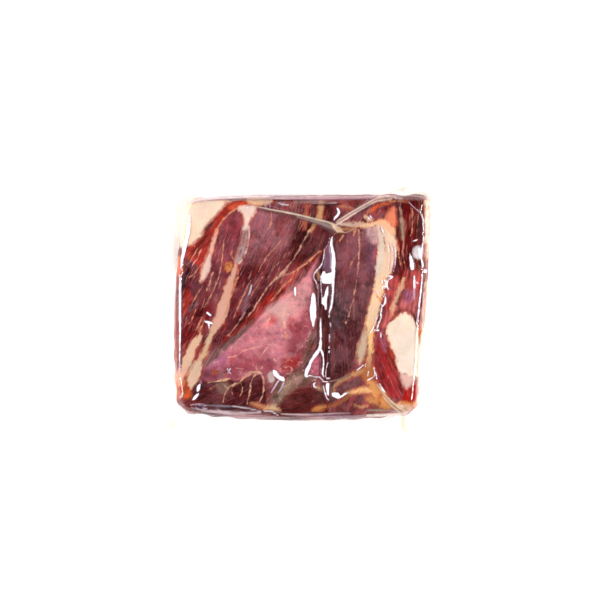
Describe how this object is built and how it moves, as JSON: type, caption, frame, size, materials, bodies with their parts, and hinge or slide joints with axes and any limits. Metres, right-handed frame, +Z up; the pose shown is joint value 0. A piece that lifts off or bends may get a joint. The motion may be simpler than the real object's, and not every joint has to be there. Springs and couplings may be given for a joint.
{
  "type": "vacuum-packed cured ham block",
  "caption": "Squared block of boneless cured ham in a clear shrunk vacuum bag, lying on its back with its cut face up and the bag's rim drawn out to an ear at each corner.",
  "frame": {"origin": "middle of the flat back that the block rests on", "axes": "+Z up, out of the cut front face; +X to the right of the front face, +Y to its upper edge"},
  "size_m": [0.1729, 0.175, 0.0576],
  "materials": {
    "cured_ham": "cured meat with creamy fat, seen through clear film",
    "clear_film": "clear glossy shrunk bag film"
  },
  "bodies": {
    "root": {"vacuum_pack": "cured_ham"}
  },
  "joints": []
}
